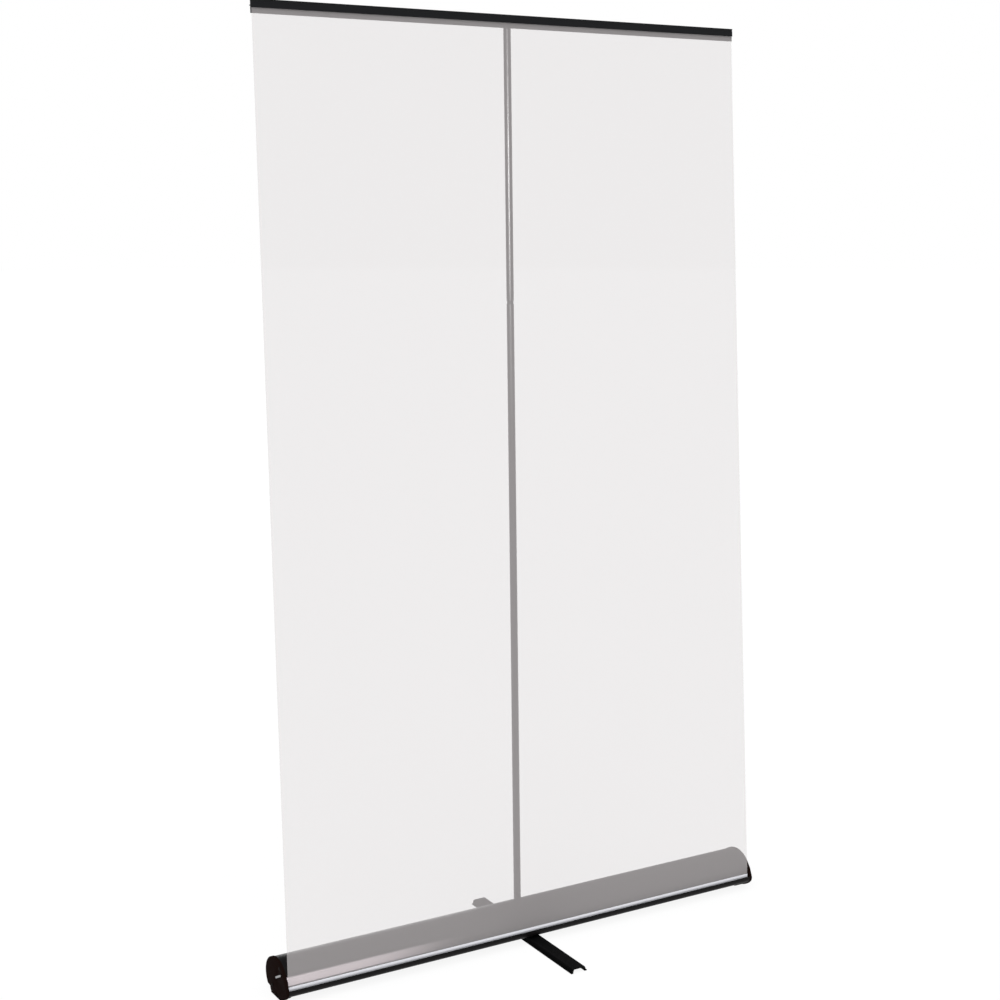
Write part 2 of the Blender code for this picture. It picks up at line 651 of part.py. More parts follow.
# ---------------------------------------------------------------- foot
def make_foot():
    axis = add_empty("foot_axis", (0, 0, 0))
    half = FOOT_WIDTH / 2
    top = FOOT_TOP_WIDTH / 2
    wall = FOOT_WALL
    side = [(half, 0), (half, wall), (half - 0.0022, wall), (top, FOOT_HEIGHT - 0.0008)]
    side.append((top - 0.0012, FOOT_HEIGHT))
    inner = [(top - 0.0020, FOOT_HEIGHT - wall), (half - 0.0048, wall * 0.6), (half - 0.0060, 0)]
    outline = [(-x, z) for x, z in side]
    outline += [(x, z) for x, z in reversed(side)]
    outline += [(x, z) for x, z in reversed(inner)]
    outline += [(-x, z) for x, z in inner]
    bm = bmesh.new()
    extrude_section(bm, outline, -FOOT_LENGTH / 2, FOOT_LENGTH / 2)
    bmesh.ops.rotate(bm, verts=bm.verts, cent=(0, 0, 0), matrix=Matrix.Rotation(math.pi / 2, 3, "Z"))
    foot = add_object("foot_channel", bm, "black_steel", axis)
    hole = bmesh.new()
    profile = rod_profile(BOLT_RADIUS + GAP, FOOT_HEIGHT / 2, FOOT_HEIGHT + 0.001)
    lathe(hole, profile, 24)
    cut(foot, hole, "foot_bolt_hole")


def make_foot_pivot():
    under = FOOT_HEIGHT - FOOT_WALL - GAP
    plate_top = FLOOR_PLATE_Z + FOOT_PLATE[2]
    nut_top = plate_top + GAP + NUT_HEIGHT
    bolt = [
        (0, under - BOLT_HEAD), (BOLT_HEAD_RADIUS * 0.8, under - BOLT_HEAD),
        (BOLT_HEAD_RADIUS, under - BOLT_HEAD / 2), (BOLT_HEAD_RADIUS, under),
        (BOLT_RADIUS, under), (BOLT_RADIUS, nut_top), (0, nut_top),
    ]
    turned("foot_bolt", bolt, "steel", None, 24)
    washer = tube_profile(WASHER_RADIUS, BOLT_RADIUS + GAP, FOOT_HEIGHT + GAP, BASE_Z - GAP)
    turned("foot_washer", washer, "nylon", None, 32)
    nut = turned("foot_nut", rod_profile(NUT_RADIUS, plate_top + GAP, nut_top), "steel", None, 6)
    bore = bmesh.new()
    lathe(bore, rod_profile(BOLT_RADIUS + GAP, plate_top, nut_top + 0.001), 24)
    cut(nut, bore, "foot_nut_bore")
    length, depth, height = FOOT_PLATE
    bm = bmesh.new()
    low = (-length / 2, -depth / 2, FLOOR_PLATE_Z)
    add_box(bm, low, (length / 2, depth / 2, FLOOR_PLATE_Z + height))
    plate = add_object("foot_plate", bm, "steel")
    holes = bmesh.new()
    span = (FLOOR_PLATE_Z - 0.001, FLOOR_PLATE_Z + height + 0.001)
    lathe(holes, rod_profile(BOLT_RADIUS + GAP, *span), 24)
    for x, y in PLATE_SCREW_PLACES:
        place = Matrix.Translation((x, y, 0))
        lathe(holes, rod_profile(PLATE_SCREW_RADIUS + GAP, *span), 12, place)
    cut(plate, holes, "foot_plate_holes")


def make_floor_screw(name, x, y, depth):
    """A screw that enters from under the housing."""
    profile = screw_profile(PLATE_SCREW_RADIUS, depth, SCREW_HEAD_RADIUS, SCREW_HEAD)
    place = Matrix.Translation((x, y, BASE_Z - GAP)) @ Matrix.Rotation(math.pi, 4, "X")
    turned(name, profile, "steel", None, 16, place)


# ---------------------------------------------------------------- pole
def pole_matrix():
    return Matrix.Translation(POLE_FOOT) @ Matrix.Rotation(-POLE_LEAN, 4, "X")


def make_pole_socket():
    bore = POLE_RADIUS + POLE_SOCKET_CLEARANCE
    outer = POLE_SOCKET_RADIUS
    base = FLOOR_PLATE_Z + SOCKET_FLANGE / 2
    bm = bmesh.new()
    length = POLE_SOCKET_HEIGHT - (base - POLE_FOOT_Z)
    lathe(bm, rod_profile(outer, base - POLE_FOOT_Z, length), 32, pole_matrix())
    socket = add_object("pole_socket", bm, "nylon")
    flange = bmesh.new()
    wide = SOCKET_SCREW_X + 2 * SCREW_HEAD_RADIUS
    low = (-wide, POLE_FOOT_Y - outer, FLOOR_PLATE_Z)
    high = (wide, POLE_FOOT_Y + outer - 0.001, FLOOR_PLATE_Z + SOCKET_FLANGE)
    add_box(flange, low, high)
    cut(socket, flange, "socket_flange", "UNION")
    holes = bmesh.new()
    lathe(holes, rod_profile(bore, -0.010, POLE_SOCKET_HEIGHT + 0.010), 32, pole_matrix())
    span = (FLOOR_PLATE_Z - 0.001, FLOOR_PLATE_Z + SOCKET_FLANGE + 0.001)
    for side in (-1, 1):
        place = Matrix.Translation((side * SOCKET_SCREW_X, POLE_FOOT_Y, 0))
        lathe(holes, rod_profile(PLATE_SCREW_RADIUS + GAP, *span), 12, place)
    cut(socket, holes, "socket_bore")


def pole_levels():
    """Start and end of the three tubes along the pole's axis."""
    lower = (0.0, LOWER_LENGTH)
    middle = (LOWER_LENGTH + GAP, 2 * LOWER_LENGTH + GAP)
    upper = (UPPER_START, POLE_TUBES_TOP)
    return lower, middle, upper


def make_pole():
    axis = add_empty("pole_axis", POLE_FOOT, -POLE_LEAN)
    lower, middle, upper = pole_levels()
    bore = POLE_RADIUS - POLE_WALL
    for name, span in (("pole_lower", lower), ("pole_middle", middle), ("pole_upper", upper)):
        turned(name, tube_profile(POLE_RADIUS, bore, *span), "pole", axis, 32)
    joints = (("ferrule_lower", lower[1], middle[0]), ("ferrule_upper", middle[1], upper[0]))
    for name, below, above in joints:
        span = (below - FERRULE_HOLD, above + FERRULE_HOLD)
        turned(name, tube_profile(FERRULE_RADIUS, FERRULE_BORE, *span), "pole", axis, 28)
    plug_top = FERRULE_HOLD
    plug = [
        (0, GAP), (FERRULE_RADIUS - 0.001, GAP), (FERRULE_RADIUS, 2 * GAP + 0.001),
        (FERRULE_RADIUS, plug_top), (0, plug_top),
    ]
    turned("pole_bottom_plug", plug, "nylon", axis, 28)
    tip_start = upper[1] - FERRULE_HOLD
    cord = rod_profile(CORD_RADIUS, plug_top + GAP, tip_start - GAP)
    turned("elastic_cord", cord, "cord", axis, 10)
    make_pole_hook(axis, tip_start)


def make_pole_hook(axis, start):
    """A plug with a forward tongue that sits in the rail's rear groove."""
    reach = POLE_BEHIND_FILM - RAIL_LEAF_BACK - 2 * GAP
    bm = bmesh.new()
    neck = [
        (0, start), (FERRULE_RADIUS, start), (FERRULE_RADIUS, POLE_TOTAL - 0.001),
        (FERRULE_RADIUS - 0.001, POLE_TOTAL), (0, POLE_TOTAL),
    ]
    lathe(bm, neck, 28)
    hook = add_object("pole_hook", bm, "nylon", axis)
    tongue = bmesh.new()
    top = POLE_TOTAL - 0.0008
    low = top - HOOK_HEIGHT
    half = HOOK_WIDTH / 2
    spread = math.asin(half / reach)
    start_turn = -math.pi / 2 - spread
    outline = [(half, 0.0), (-half, 0.0)]
    outline += arc(0, 0, reach, reach, start_turn, start_turn + 2 * spread, 8)
    floor = [tongue.verts.new((x, y, low)) for x, y in outline]
    roof = [tongue.verts.new((x, y, top)) for x, y in outline]
    tongue.faces.new(floor)
    tongue.faces.new(reversed(roof))
    for i in range(len(outline)):
        j = (i + 1) % len(outline)
        tongue.faces.new((floor[i], roof[i], roof[j], floor[j]))
    cut(hook, tongue, "hook_tongue", "UNION")


# ---------------------------------------------------------------- rail and film
def make_rail(frame):
    half = RAIL_LENGTH / 2
    ring_in = BEAD_RADIUS + GAP
    ring_out = ring_in + BEAD_WALL
    low_turn = math.radians(-42)
    high_turn = math.radians(150)
    top = HINGE_UP + ring_out
    flange_top = min(GROOVE_ROOF + RAIL_WALL, top)
    outline = [(RAIL_LEAF_FRONT, -RAIL_DROP)]
    outline += arc(HINGE_FORWARD, HINGE_UP, ring_in, ring_in, low_turn, high_turn, 12)
    outline += arc(HINGE_FORWARD, HINGE_UP, ring_out, ring_out, high_turn, math.radians(60), 8)
    outline += [(GROOVE_BACK, flange_top), (GROOVE_BACK, GROOVE_ROOF)]
    outline += [(RAIL_LEAF_BACK, GROOVE_ROOF), (RAIL_LEAF_BACK, GROOVE_FLOOR)]
    outline += [(GROOVE_BACK, GROOVE_FLOOR), (GROOVE_BACK, GROOVE_LOW)]
    outline += [(RAIL_LEAF_BACK, GROOVE_LOW), (RAIL_LEAF_BACK, -RAIL_DROP)]
    prism("rail_back", outline, -half, half, "rail", frame)


def make_jaw(frame):
    """The front leaf, hanging from a bead that turns in the rail's top."""
    axis = add_empty("jaw_axis", (0, HINGE_FORWARD, HINGE_UP))
    axis.parent = frame
    half = RAIL_LENGTH / 2
    back = JAW_FACE - HINGE_FORWARD
    front = back - RAIL_WALL
    low = -HINGE_UP
    turn_in = math.asin(BEAD_NECK / BEAD_RADIUS)
    shoulder = -(BEAD_RADIUS + GAP + BEAD_WALL + GAP)
    outline = [(back, low), (back, shoulder), (BEAD_NECK, shoulder)]
    outline += arc(0, 0, BEAD_RADIUS, BEAD_RADIUS, turn_in - math.pi / 2,
                   1.5 * math.pi - turn_in, 16)
    outline += [(-BEAD_NECK, shoulder), (front, shoulder), (front, low)]
    prism("rail_jaw", outline, -half, half, "rail", axis)


def make_film():
    frame = add_empty("film_frame", SLOT, -FILM_LEAN)
    half = FILM_THICK / 2
    low = LEADER_SHOWN
    high = FILM_HEIGHT + FILM_TUCK
    outline = [(-half, low), (half, low), (half, high), (-half, high)]
    prism("banner_film", outline, -FILM_WIDTH / 2, FILM_WIDTH / 2, "film", frame)


# ---------------------------------------------------------------- assembly
def make_base():
    make_housing()
    make_guide_strip()
    make_guide_rod()
    for side, word in ((-1, "left"), (1, "right")):
        make_end_cap(side, "end_cap_" + word)
        make_pad(side, "floor_pad_" + word)
        for place, height in zip(port_places(), ("upper", "lower")):
            make_cap_screw("cap_screw_" + word + "_" + height, side, *place)
    make_foot_pivot()
    for k, (x, y) in enumerate(PLATE_SCREW_PLACES):
        make_floor_screw("plate_screw_" + str(k + 1), x, y, HOUSING_WALL + FOOT_PLATE[2])
    make_pole_socket()
    for side, word in ((-1, "left"), (1, "right")):
        x = side * SOCKET_SCREW_X
        make_floor_screw("socket_screw_" + word, x, POLE_FOOT_Y, HOUSING_WALL + SOCKET_FLANGE)


def main():
    clear_scene()
    make_base()
    make_lock_pin()
    make_spindle()
    make_spring()
    make_bush()
    make_roller()
    make_leader()
    make_foot()
    make_pole()
    rail_frame = add_empty("rail_frame", RAIL_ORIGIN, -FILM_LEAN)
    make_rail(rail_frame)
    make_jaw(rail_frame)
    make_film()


main()
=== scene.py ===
"""Looks of the roll-up banner stand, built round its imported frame.

Metres, +Z up. X runs along the base and -Y is the side that is read.
"""
import json
import math

import bmesh
import bpy
from mathutils import Matrix, Vector

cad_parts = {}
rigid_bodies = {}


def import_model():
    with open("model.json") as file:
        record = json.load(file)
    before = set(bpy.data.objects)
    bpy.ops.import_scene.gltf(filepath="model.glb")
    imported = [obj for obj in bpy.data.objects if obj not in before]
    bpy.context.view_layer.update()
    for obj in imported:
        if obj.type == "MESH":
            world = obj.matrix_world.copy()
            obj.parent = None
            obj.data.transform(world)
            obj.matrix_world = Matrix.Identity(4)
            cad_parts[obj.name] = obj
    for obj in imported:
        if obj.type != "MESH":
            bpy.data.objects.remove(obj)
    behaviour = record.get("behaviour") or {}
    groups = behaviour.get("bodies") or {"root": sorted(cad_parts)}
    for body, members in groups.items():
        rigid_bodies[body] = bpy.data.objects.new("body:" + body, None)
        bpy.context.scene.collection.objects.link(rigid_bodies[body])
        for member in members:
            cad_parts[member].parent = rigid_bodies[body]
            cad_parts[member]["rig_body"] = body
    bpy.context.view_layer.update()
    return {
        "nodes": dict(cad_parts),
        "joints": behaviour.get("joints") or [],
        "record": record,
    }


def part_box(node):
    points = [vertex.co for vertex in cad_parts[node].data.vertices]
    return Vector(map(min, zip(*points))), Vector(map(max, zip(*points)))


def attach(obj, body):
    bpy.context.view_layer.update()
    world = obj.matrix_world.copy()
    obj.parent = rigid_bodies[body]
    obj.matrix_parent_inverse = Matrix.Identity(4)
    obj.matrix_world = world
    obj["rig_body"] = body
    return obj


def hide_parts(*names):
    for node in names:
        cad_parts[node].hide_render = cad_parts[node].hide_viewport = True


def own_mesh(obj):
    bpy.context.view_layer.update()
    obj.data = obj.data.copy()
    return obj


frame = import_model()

# ---------------------------------------------------------------- sizes and places
JOINTS = {joint["name"]: joint for joint in frame["joints"]}
DOWN = Vector(JOINTS["rail_travel"]["axis"])
UP = -DOWN
BACK = Vector((0, UP.z, -UP.y))

FILM_COLUMNS = 64
FILM_ROWS = 110
FILM_HALF = 0.00025           # half the CAD film's thickness
FILM_WAVE = 0.0001            # how far the taut film wanders from its plane
FILM_CURL = 0.0001            # how far its side edges curl back
CURL_REACH = 0.060            # width of the strip beside an edge that curls
FILM_GRAIN = 0.00002
FILM_OPACITY = 0.43

LENS = 62.04
SENSOR = 36.0
CAMERA_PLACE = (-1.9472, -3.1786, 1.6444)
CAMERA_TURN = (83.38, 0.0, -30.56)    # degrees
CAMERA_SHIFT_Y = -0.0972

SUN_STRENGTH = 2.2
SUN_SPREAD = math.radians(70)
WORLD_STRENGTH = 0.42         # what the world lights and reflects; the camera sees it white
POLE_LIGHT_WATTS = 640.0
POLE_LIGHT_DISTANCE = 3.4     # from the pole, towards the camera
POLE_LIGHT_HEIGHT = 1.88
POLE_LIGHT_AIM = 1.72         # the height on the pole that it points at
STRIP_LIGHT_WATTS = 14000.0
STRIP_LIGHT_INSET = 0.05      # its target, from the strip's left end
STRIP_LIGHT_OFFSET = Vector((-0.25, -1.2, 0.25))
LEADER_LIGHT_WATTS = 13.0
LEADER_LIGHT_OFFSET = Vector((0, -1.6, 0.1))
CREST_LIGHT_WATTS = 7.0
CREST_LIGHT_INSET = 0.10      # its target, from the housing's left end
CREST_LIGHT_OFFSET = Vector((1.2, 2.7, 0.2))

FLOOR_RADIUS = 40.0
FLOOR_SEGMENTS = 96
FLOOR_GLOW = 0.90

WELD = 0.000002               # vertices closer than this are one
SAME_PLACE = 0.00005          # coordinates closer than this are the same
FLAT_ANGLE = math.radians(0.8)        # faces that turn less than this are one flat face
SMOOTH_ANGLE = math.radians(40)
EDGE_ANGLE = math.radians(30)         # edges sharper than this are rounded
EDGE_SEGMENTS = 2
FINE_EDGE = 0.00025           # rounding of the small edges of the caps and the lock tab
CAP_ROUND = 0.0016            # rounding of an end cap's outer edge
CAP_ROUND_SEGMENTS = 4
CAP_EDGE_LEAST = 0.0016       # that edge's stretches are at least this long
CAP_SIDE_LEAST = 0.0040       # and the side faces behind them at least this deep
TAB_ROUND = 0.0020            # corners of the lock tab
TAB_ROUND_SEGMENTS = 6
TAB_THINNEST = 0.0012         # a corner edge of the tab is as long as the tab is thick
TAB_THICKEST = 0.0018

SCREW_SIDES = 28
SCREW_HEAD = 0.53             # height of a screw's head, in radii of the head
SCREW_SHANK = 0.44            # radius of its shank, likewise
SCREW_TIP = 0.4               # radius of its tip, in radii of the shank
SCREW_FLAT = 0.55             # radius of the flat on top of its domed head, in radii of the head
SCREW_RIM = 0.35              # height at which the dome starts, in heights of the head
SCREW_DOME_STEPS = 7
SCREW_SMOOTH_ANGLE = math.radians(35)
CROSS_TURNS = (math.radians(20), math.radians(110))
CROSS_WIDTH = 0.0008          # slots of a cross-head screw
CROSS_REACH = 0.0019
CROSS_DEPTH = 0.0011

LINES_ACROSS = 1400.0         # drawn lines per metre across a drawn metal
LINES_ALONG = 3.0             # and along it
BROAD_LINES = 9               # how many lines one broad band takes

MIX_FACTOR, MIX_FIRST, MIX_SECOND, MIX_RESULT = 0, 6, 7, 2     # colour sockets of a Mix node

EDGE_ROUNDINGS = {
    "housing_shell": 0.0003, "guide_strip": 0.0003, "guide_rod": 0.0002,
    "floor_pad_left": 0.0005, "floor_pad_right": 0.0005,
    "foot_bolt": 0.0004, "foot_washer": 0.0003, "foot_nut": 0.0003, "foot_plate": 0.0004,
    "pole_socket": 0.0003, "spring_spindle": 0.0002, "roller_bush": 0.0002,
    "roller_tube": 0.0002, "wound_leader": 0.0001, "roller_plug_left": 0.0002,
    "roller_plug_right": 0.0002, "foot_channel": 0.0004,
    "pole_lower": 0.00025, "pole_middle": 0.00025, "pole_upper": 0.00025,
    "ferrule_lower": 0.0002, "ferrule_upper": 0.0002, "pole_bottom_plug": 0.0003,
    "pole_hook": 0.0003, "rail_back": 0.00025, "rail_jaw": 0.00025,
}


# ---------------------------------------------------------------- material helpers
def add_node(tree, kind, settings=None, **inputs):
    """One node. Inputs are values or sockets, and _ in an input's name is a space."""
    made = tree.nodes.new(kind)
    for key, value in (settings or {}).items():
        setattr(made, key, value)
    for key, value in inputs.items():
        socket = made.inputs[key.replace("_", " ")]
        if isinstance(value, bpy.types.NodeSocket):
            tree.links.new(value, socket)
        else:
            socket.default_value = value
    return made


def object_point(tree, scale=(1.0, 1.0, 1.0), turn=(0.0, 0.0, 0.0)):
    place = tree.nodes.new("ShaderNodeTexCoord").outputs["Object"]
    mapping = add_node(tree, "ShaderNodeMapping", Vector=place, Scale=scale, Rotation=turn)
    return mapping.outputs["Vector"]


def noise(tree, point, scale, detail=3.0, roughness=0.5):
    made = add_node(tree, "ShaderNodeTexNoise", Vector=point, Scale=scale, Detail=detail,
                    Roughness=roughness)
    return made.outputs["Fac"]


def between(tree, factor, low, high, start=0.0, end=1.0):
    """Map a 0 to 1 factor between start and end to the values low and high."""
    made = add_node(tree, "ShaderNodeMapRange", Value=factor, From_Min=start, From_Max=end,
                    To_Min=low, To_Max=high)
    return made.outputs["Result"]


def mix_colour(tree, factor, first, second):
    made = add_node(tree, "ShaderNodeMix", {"data_type": "RGBA"})
    tree.links.new(factor, made.inputs[MIX_FACTOR])
    for index, value in ((MIX_FIRST, first), (MIX_SECOND, second)):
        if isinstance(value, bpy.types.NodeSocket):
            tree.links.new(value, made.inputs[index])
        else:
            made.inputs[index].default_value = (*value, 1.0)
    return made.outputs[MIX_RESULT]


def add_factors(tree, first, second, operation="ADD"):
    made = add_node(tree, "ShaderNodeMath", {"operation": operation})
    for socket, value in zip(made.inputs, (first, second)):
        if isinstance(value, bpy.types.NodeSocket):
            tree.links.new(value, socket)
        else:
            socket.default_value = value
    return made.outputs["Value"]


def bump(tree, height, depth, strength=1.0, under=None):
    """A bump of a depth in metres, over the normal of another one."""
    inputs = {"Height": height, "Distance": depth, "Strength": strength}
    if under is not None:
        inputs["Normal"] = under
    return add_node(tree, "ShaderNodeBump", **inputs).outputs["Normal"]


def start_material(name, roughness, metallic, specular):
    mat = bpy.data.materials.new(name)
    mat.use_nodes = True
    shader = mat.node_tree.nodes["Principled BSDF"]
    shader.inputs["Roughness"].default_value = roughness
    shader.inputs["Metallic"].default_value = metallic
    shader.inputs["Specular IOR Level"].default_value = specular
    return mat, mat.node_tree, shader


def join(tree, shader, **sockets):
    for key, socket in sockets.items():
        tree.links.new(socket, shader.inputs[key.replace("_", " ")])


def tinted(colour, share):
    return tuple(channel * share for channel in colour)


def worn_edges(tree):
    """1 on the sharpest edges, 0 elsewhere, broken up by a fine noise."""
    sharp = tree.nodes.new("ShaderNodeNewGeometry").outputs["Pointiness"]
    grain = noise(tree, object_point(tree), 900.0)
    ragged = add_factors(tree, sharp, between(tree, grain, -0.03, 0.03))
    return between(tree, ragged, 0.0, 1.0, 0.53, 0.60)


# ---------------------------------------------------------------- materials
def drawn_metal(name, colour, along, roughness, metallic, specular, line=0.000012):
    """Anodised or bare metal with the fine lines that a die leaves along one axis."""
    mat, tree, shader = start_material(name, roughness, metallic, specular)
    fine = [LINES_ALONG if axis == along else LINES_ACROSS for axis in "XYZ"]
    broad = [1.0 if axis == along else LINES_ACROSS / BROAD_LINES for axis in "XYZ"]
    lines = noise(tree, object_point(tree, fine), 1.0, 4.0, 0.6)
    bands = noise(tree, object_point(tree, broad), 1.0, 2.0)
    cloud = noise(tree, object_point(tree), 9.0, 4.0)
    speck = between(tree, noise(tree, object_point(tree), 1600.0, 1.0), 0.0, 0.35, 0.72, 0.80)
    base = mix_colour(tree, cloud, tinted(colour, 0.86), tinted(colour, 1.16))
    base = mix_colour(tree, between(tree, bands, 0.0, 0.5), base, tinted(colour, 1.30))
    base = mix_colour(tree, speck, base, tinted(colour, 2.2))
    streak = between(tree, lines, roughness - 0.07, roughness + 0.07, 0.25, 0.75)
    smear = between(tree, cloud, -0.035, 0.035, 0.3, 0.7)
    join(tree, shader, Base_Color=base, Roughness=add_factors(tree, streak, smear),
         Normal=bump(tree, lines, line))
    return mat


def moulded(name, colour, roughness, grain=0.0004, depth=0.00004, specular=0.4):
    """Moulded plastic or rubber: a fine spark-eroded grain and faint flow marks."""
    mat, tree, shader = start_material(name, roughness, 0.0, specular)
    point = object_point(tree)
    pits = noise(tree, point, 1.0 / grain, 3.0, 0.65)
    flow = noise(tree, object_point(tree, (14.0, 14.0, 40.0)), 1.0, 3.0)
    dust = between(tree, noise(tree, point, 700.0, 2.0), 0.0, 0.4, 0.66, 0.78)
    base = mix_colour(tree, flow, tinted(colour, 0.82), tinted(colour, 1.20))
    base = mix_colour(tree, dust, base, tinted(colour, 1.7))
    rough = add_factors(tree, between(tree, pits, roughness - 0.08, roughness + 0.08, 0.3, 0.7),
                        between(tree, flow, -0.04, 0.04, 0.3, 0.7))
    join(tree, shader, Base_Color=base, Roughness=rough, Normal=bump(tree, pits, depth))
    return mat


def powder_coat(name, colour, roughness, specular):
    """Sprayed black coat: orange peel, fine sparkle and rubbed edges."""
    mat, tree, shader = start_material(name, roughness, 0.0, specular)
    point = object_point(tree)
    peel = noise(tree, point, 420.0, 2.0)
    fine = noise(tree, point, 2600.0, 2.0)
    cloud = noise(tree, point, 22.0, 3.0)
    base = mix_colour(tree, cloud, tinted(colour, 0.8), tinted(colour, 1.25))
    base = mix_colour(tree, between(tree, worn_edges(tree), 0.0, 0.10), base, (0.16, 0.16, 0.16))
    rough = between(tree, fine, roughness - 0.08, roughness + 0.08, 0.3, 0.7)
    normal = bump(tree, fine, 0.000008, under=bump(tree, peel, 0.00006))
    join(tree, shader, Base_Color=base, Roughness=rough, Normal=normal)
    return mat


def plated_steel(name, colour, roughness=0.30):
    """Zinc-plated steel with a cloudy plating and fine scratches."""
    mat, tree, shader = start_material(name, roughness, 1.0, 0.5)
    point = object_point(tree)
    cloud = noise(tree, point, 260.0, 4.0)
    scratch = noise(tree, object_point(tree, (300.0, 3200.0, 900.0), (0.4, 0.3, 0.2)), 1.0, 3.0)
    base = mix_colour(tree, cloud, tinted(colour, 0.82), tinted(colour, 1.12))
    base = mix_colour(tree, between(tree, cloud, 0.0, 0.22, 0.52, 0.68), base, (0.50, 0.47, 0.36))
    rough = add_factors(tree, between(tree, cloud, roughness - 0.06, roughness + 0.08, 0.3, 0.7),
                        between(tree, scratch, -0.06, 0.06, 0.3, 0.7))
    join(tree, shader, Base_Color=base, Roughness=rough, Normal=bump(tree, scratch, 0.00001))
    return mat


def film_material():
    """Blank banner film: translucent, faintly clouded, with a calendered grain."""
    mat, tree, shader = start_material("banner_film", 0.38, 0.0, 0.25)
    shader.inputs["Alpha"].default_value = FILM_OPACITY
    point = object_point(tree)
    cloud = noise(tree, object_point(tree, (5.0, 5.0, 2.0)), 1.0, 3.0)
    fine = noise(tree, point, 1500.0, 2.0)
    base = mix_colour(tree, cloud, (0.662, 0.624, 0.624), (0.678, 0.640, 0.640))
    base = mix_colour(tree, between(tree, fine, 0.0, 0.25, 0.35, 0.75), base, (0.71, 0.67, 0.67))
    rough = between(tree, fine, 0.33, 0.45, 0.3, 0.7)
    wave = noise(tree, object_point(tree, (1.6, 1.6, 0.7)), 1.0, 1.0)
    normal = bump(tree, fine, FILM_GRAIN, 0.5, bump(tree, wave, 0.004, 0.4))
    join(tree, shader, Base_Color=base, Roughness=rough, Normal=normal)
    return mat


def leader_material():
    """White, faintly blue leader film with a soft sheen."""
    mat, tree, shader = start_material("leader_film", 0.34, 0.0, 0.5)
    fine = noise(tree, object_point(tree), 1300.0, 2.0)
    length = noise(tree, object_point(tree, (3.0, 240.0, 240.0)), 1.0, 3.0)
    base = mix_colour(tree, length, (0.74, 0.745, 0.79), (0.80, 0.805, 0.85))
    rough = between(tree, fine, 0.28, 0.42, 0.3, 0.7)
    join(tree, shader, Base_Color=base, Roughness=rough, Normal=bump(tree, fine, 0.00001))
    return mat


def braid_material():
    """Braided elastic cord, its strands crossing round the cord."""
    mat, tree, shader = start_material("braided_cord", 0.8, 0.0, 0.2)
    shader.inputs["Sheen Weight"].default_value = 0.3
    first = add_node(tree, "ShaderNodeTexWave", Scale=260.0, Distortion=0.6,
                     Vector=object_point(tree, turn=(0.7, 0.0, 0.7)))
    second = add_node(tree, "ShaderNodeTexWave", Scale=260.0, Distortion=0.6,
                      Vector=object_point(tree, turn=(-0.7, 0.0, -0.7)))
    weave = add_factors(tree, first.outputs["Fac"], second.outputs["Fac"], "MAXIMUM")
    base = mix_colour(tree, weave, (0.10, 0.010, 0.008), (0.45, 0.05, 0.04))
    join(tree, shader, Base_Color=base, Normal=bump(tree, weave, 0.0002))
    return mat


def make_materials():
    black = (0.0040, 0.0034, 0.0036)
    return {
        "housing": drawn_metal("housing_black", black, "X", 0.42, 0.0, 0.09),
        "cap": moulded("cap_plastic", (0.0092, 0.0048, 0.0040), 0.50, specular=0.002),
        "rubber": moulded("pad_rubber", (0.012, 0.012, 0.012), 0.82, 0.0007, 0.00008, 0.2),
        "steel": plated_steel("zinc_steel", (0.60, 0.61, 0.64)),
        "tab": plated_steel("tab_steel", (0.30, 0.30, 0.31)),
        "screw": powder_coat("blackened_screw", (0.007, 0.0045, 0.0040), 0.42, 0.03),
        "black_steel": powder_coat("foot_powder_coat", (0.0022, 0.0022, 0.0023), 0.50, 0.012),
        "roller": drawn_metal("roller_aluminium", (0.60, 0.61, 0.63), "X", 0.36, 1.0, 0.5),
        "nylon": moulded("black_nylon", (0.012, 0.012, 0.012), 0.58, 0.0005, specular=0.25),
        "leader": leader_material(),
        "film": film_material(),
        "pole": drawn_metal("pole_black", (0.0045, 0.0038, 0.0040), "Z", 0.26, 0.0, 0.24, 0.00005),
        "cord": braid_material(),
        "rail": drawn_metal("rail_black", (0.0078, 0.0082, 0.0092), "X", 0.40, 0.0, 0.18),
    }


MATERIALS = make_materials()
SLOTS = {part["node"]: part["material_slot"] for part in frame["record"]["subparts"]}


# ---------------------------------------------------------------- pieces from CAD shapes
def body_of(node):
    return frame["nodes"][node]["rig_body"]


def paint(obj, key):
    obj.data.materials.clear()
    obj.data.materials.append(MATERIALS[key])


def clean_mesh(node):
    """A CAD node's shape with its triangles joined back into whole faces."""
    bm = bmesh.new()
    bm.from_mesh(frame["nodes"][node].data)
    bmesh.ops.remove_doubles(bm, verts=bm.verts, dist=WELD)
    bmesh.ops.dissolve_limit(bm, angle_limit=FLAT_ANGLE, verts=bm.verts, edges=bm.edges,
                             use_dissolve_boundaries=False)
    return bm


def place_piece(bm, name, node, key=None):
    """Turn bm into the shown piece that stands for a CAD node."""
    mesh = bpy.data.meshes.new(name)
    bm.to_mesh(mesh)
    bm.free()
    mesh.shade_smooth()
    mesh.set_sharp_from_angle(angle=SMOOTH_ANGLE)
    obj = bpy.data.objects.new(name, mesh)
    bpy.context.collection.objects.link(obj)
    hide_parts(node)
    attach(obj, body_of(node))
    paint(obj, key or SLOTS[node])
    return obj


def soften(obj, width):
    """Round the sharp edges that every made thing has."""
    rounding = obj.modifiers.new("edge_rounding", "BEVEL")
    rounding.width = width
    rounding.segments = EDGE_SEGMENTS
    rounding.limit_method = "ANGLE"
    rounding.angle_limit = EDGE_ANGLE
    rounding.miter_outer = "MITER_ARC"
    rounding.harden_normals = True


def refine(node, width):
    soften(place_piece(clean_mesh(node), node + "_finished", node), width)


